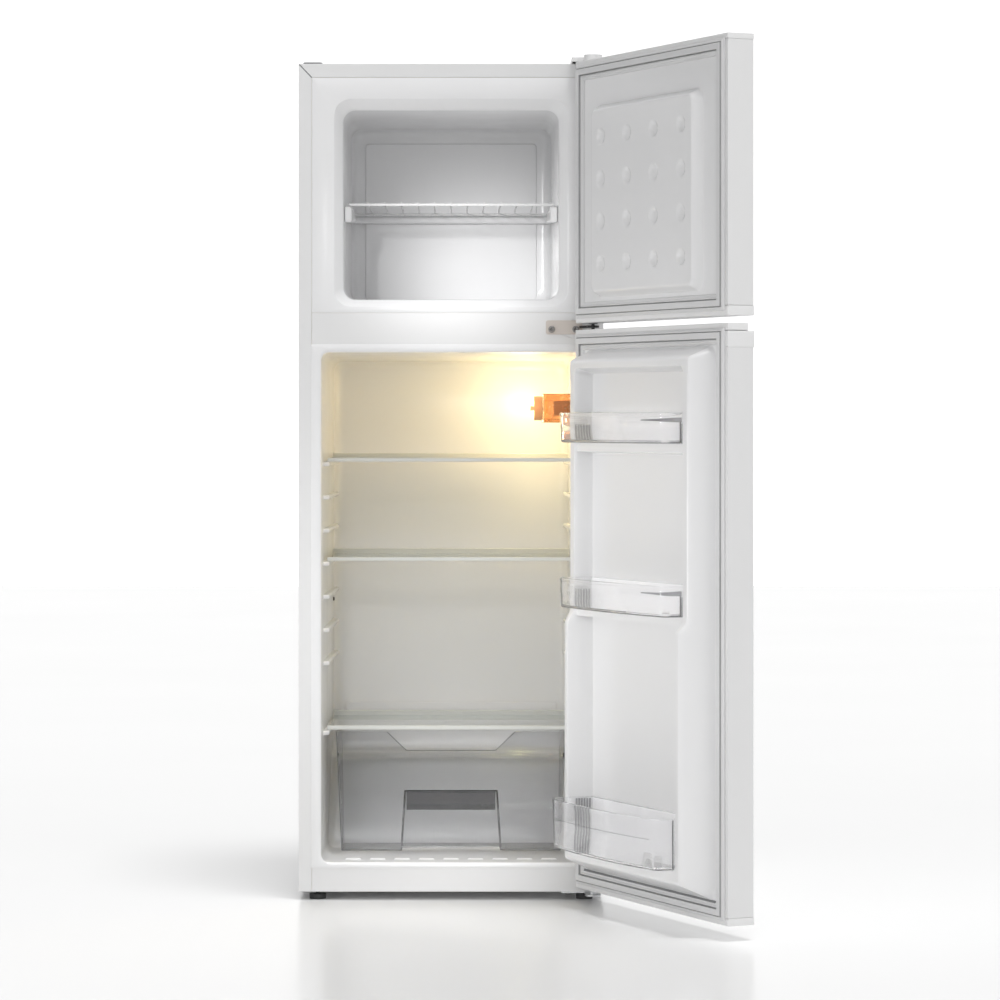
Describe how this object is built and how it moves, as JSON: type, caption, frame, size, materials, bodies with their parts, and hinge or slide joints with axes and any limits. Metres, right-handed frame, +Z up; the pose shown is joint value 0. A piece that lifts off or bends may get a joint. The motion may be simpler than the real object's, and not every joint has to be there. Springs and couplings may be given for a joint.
{
  "type": "top freezer refrigerator",
  "caption": "Upright cabinet with a freezer compartment over a fridge compartment, both doors open, with shelves, crisper drawer, door bins and rear cooling unit.",
  "frame": {"origin": "on the floor, below the middle of the cabinet's front face", "axes": "+X to the right seen from the front, +Y from the front into the cabinet, +Z up"},
  "size_m": [0.7729, 1.0453, 1.507],
  "materials": {
    "white_steel": "satin white paint",
    "grey_steel": "grey coated sheet",
    "zinc_steel": "zinc plated",
    "hinge_steel": "nickel plated",
    "black_steel": "black enamel",
    "liner_plastic": "glossy vacuum-formed plastic",
    "white_plastic": "moulded",
    "grey_plastic": "moulded",
    "black_plastic": "moulded",
    "clear_plastic": "clear injection-moulded plastic",
    "amber_plastic": "translucent lamp cover",
    "shelf_glass": "toughened float glass",
    "bulb_glass": "lamp bulb",
    "gasket": "soft magnetic seal",
    "black_rubber": "vibration mount",
    "foam": "rigid foam",
    "aluminium": "mill finish",
    "copper": "drawn copper",
    "coated_wire": "white plastic coating"
  },
  "bodies": {
    "cabinet": {"outer_shell": "white_steel", "back_panel": "grey_steel", "base_pan": "white_steel", "compressor_carrier": "zinc_steel", "centre_rail": "white_steel", "freezer_liner": "liner_plastic", "fridge_liner": "liner_plastic", "cabinet_foam": "foam", "evaporators": "aluminium", "drain_tube": "white_plastic", "drip_tray": "black_plastic", "compressor": "black_steel", "compressor_grommets": "black_rubber", "compressor_bolts": "zinc_steel", "relay_cover": "black_plastic", "condenser": "black_steel", "filter_drier": "copper", "refrigerant_pipes": "copper", "power_gland": "black_plastic", "top_hinge_bracket": "zinc_steel", "top_hinge_cover": "white_plastic", "hinge_hole_cover": "grey_plastic", "middle_hinge_bracket": "hinge_steel", "bottom_hinge_bracket": "zinc_steel", "hinge_screws": "zinc_steel", "lamp_base": "white_plastic", "lamp_housing": "amber_plastic", "lamp_bulb": "bulb_glass", "door_switch_body": "white_plastic"},
    "freezer_door": {"freezer_door_skin": "white_steel", "freezer_door_liner": "liner_plastic", "freezer_door_foam": "foam", "freezer_door_gasket": "gasket", "freezer_door_top_cap": "white_plastic", "freezer_door_bottom_cap": "white_plastic", "freezer_door_bushes": "grey_plastic"},
    "fridge_door": {"fridge_door_skin": "white_steel", "fridge_door_liner": "liner_plastic", "fridge_door_foam": "foam", "fridge_door_gasket": "gasket", "fridge_door_top_cap": "white_plastic", "fridge_door_bottom_cap": "white_plastic", "fridge_door_bushes": "grey_plastic"},
    "freezer_shelf": {"freezer_wire_shelf": "coated_wire"},
    "upper_shelf": {"upper_shelf_glass": "shelf_glass", "upper_shelf_trim": "white_plastic"},
    "lower_shelf": {"lower_shelf_glass": "shelf_glass", "lower_shelf_trim": "white_plastic"},
    "crisper_cover": {"crisper_cover_glass": "shelf_glass", "crisper_cover_trim": "white_plastic"},
    "crisper": {"crisper_drawer": "clear_plastic"},
    "upper_bin": {"upper_door_bin": "clear_plastic"},
    "middle_bin": {"middle_door_bin": "clear_plastic"},
    "lower_bin": {"lower_door_bin": "clear_plastic"},
    "knob": {"thermostat_knob": "white_plastic"},
    "switch_button": {"door_switch_button": "white_plastic"},
    "left_foot": {"front_foot_left": "black_plastic"},
    "right_foot": {"front_foot_right": "black_plastic"},
    "left_roller": {"rear_roller_left": "grey_plastic"},
    "right_roller": {"rear_roller_right": "grey_plastic"}
  },
  "joints": [
    {"name": "freezer_door_hinge", "type": "hinge", "parent": "cabinet", "child": "freezer_door", "pos_m": [0.2525, -0.034, 1.03], "axis": [0, 0, 1], "range_deg": [-115.3, 20]},
    {"name": "fridge_door_hinge", "type": "hinge", "parent": "cabinet", "child": "fridge_door", "pos_m": [0.2525, -0.034, 0.026], "axis": [0, 0, 1], "range_deg": [-115.3, 20]},
    {"name": "freezer_shelf_slide", "type": "slide", "parent": "cabinet", "child": "freezer_shelf", "axis": [0, -1, 0], "range_m": [0, 0.3]},
    {"name": "upper_shelf_slide", "type": "slide", "parent": "cabinet", "child": "upper_shelf", "axis": [0, -1, 0], "range_m": [0, 0.1]},
    {"name": "lower_shelf_slide", "type": "slide", "parent": "cabinet", "child": "lower_shelf", "axis": [0, -1, 0], "range_m": [0, 0.1]},
    {"name": "crisper_cover_slide", "type": "slide", "parent": "cabinet", "child": "crisper_cover", "axis": [0, -1, 0], "range_m": [0, 0.1]},
    {"name": "crisper_slide", "type": "slide", "parent": "cabinet", "child": "crisper", "axis": [0, -1, 0], "range_m": [0, 0.19]},
    {"name": "upper_bin_lift", "type": "slide", "parent": "fridge_door", "child": "upper_bin", "axis": [0, 0, 1], "range_m": [0, 0.03]},
    {"name": "middle_bin_lift", "type": "slide", "parent": "fridge_door", "child": "middle_bin", "axis": [0, 0, 1], "range_m": [0, 0.03]},
    {"name": "lower_bin_lift", "type": "slide", "parent": "fridge_door", "child": "lower_bin", "axis": [0, 0, 1], "range_m": [0, 0.03]},
    {"name": "thermostat_turn", "type": "hinge", "parent": "cabinet", "child": "knob", "pos_m": [0.155, 0.258, 0.8797], "axis": [-1, 0, 0], "range_deg": [-150, 150]},
    {"name": "light_switch_press", "type": "slide", "parent": "cabinet", "child": "switch_button", "axis": [1, 0, 0], "range_m": [0, 0.004], "stiffness_N_per_m": 300, "springref_m": -0.002},
    {"name": "left_foot_turn", "type": "hinge", "parent": "cabinet", "child": "left_foot", "pos_m": [-0.239, 0.024, 0.005], "axis": [0, 0, 1], "continuous": true},
    {"name": "right_foot_turn", "type": "hinge", "parent": "cabinet", "child": "right_foot", "pos_m": [0.239, 0.024, 0.005], "axis": [0, 0, 1], "continuous": true},
    {"name": "left_roller_turn", "type": "hinge", "parent": "cabinet", "child": "left_roller", "pos_m": [-0.225, 0.47, 0.012], "axis": [1, 0, 0], "continuous": true},
    {"name": "right_roller_turn", "type": "hinge", "parent": "cabinet", "child": "right_roller", "pos_m": [0.225, 0.47, 0.012], "axis": [1, 0, 0], "continuous": true}
  ]
}
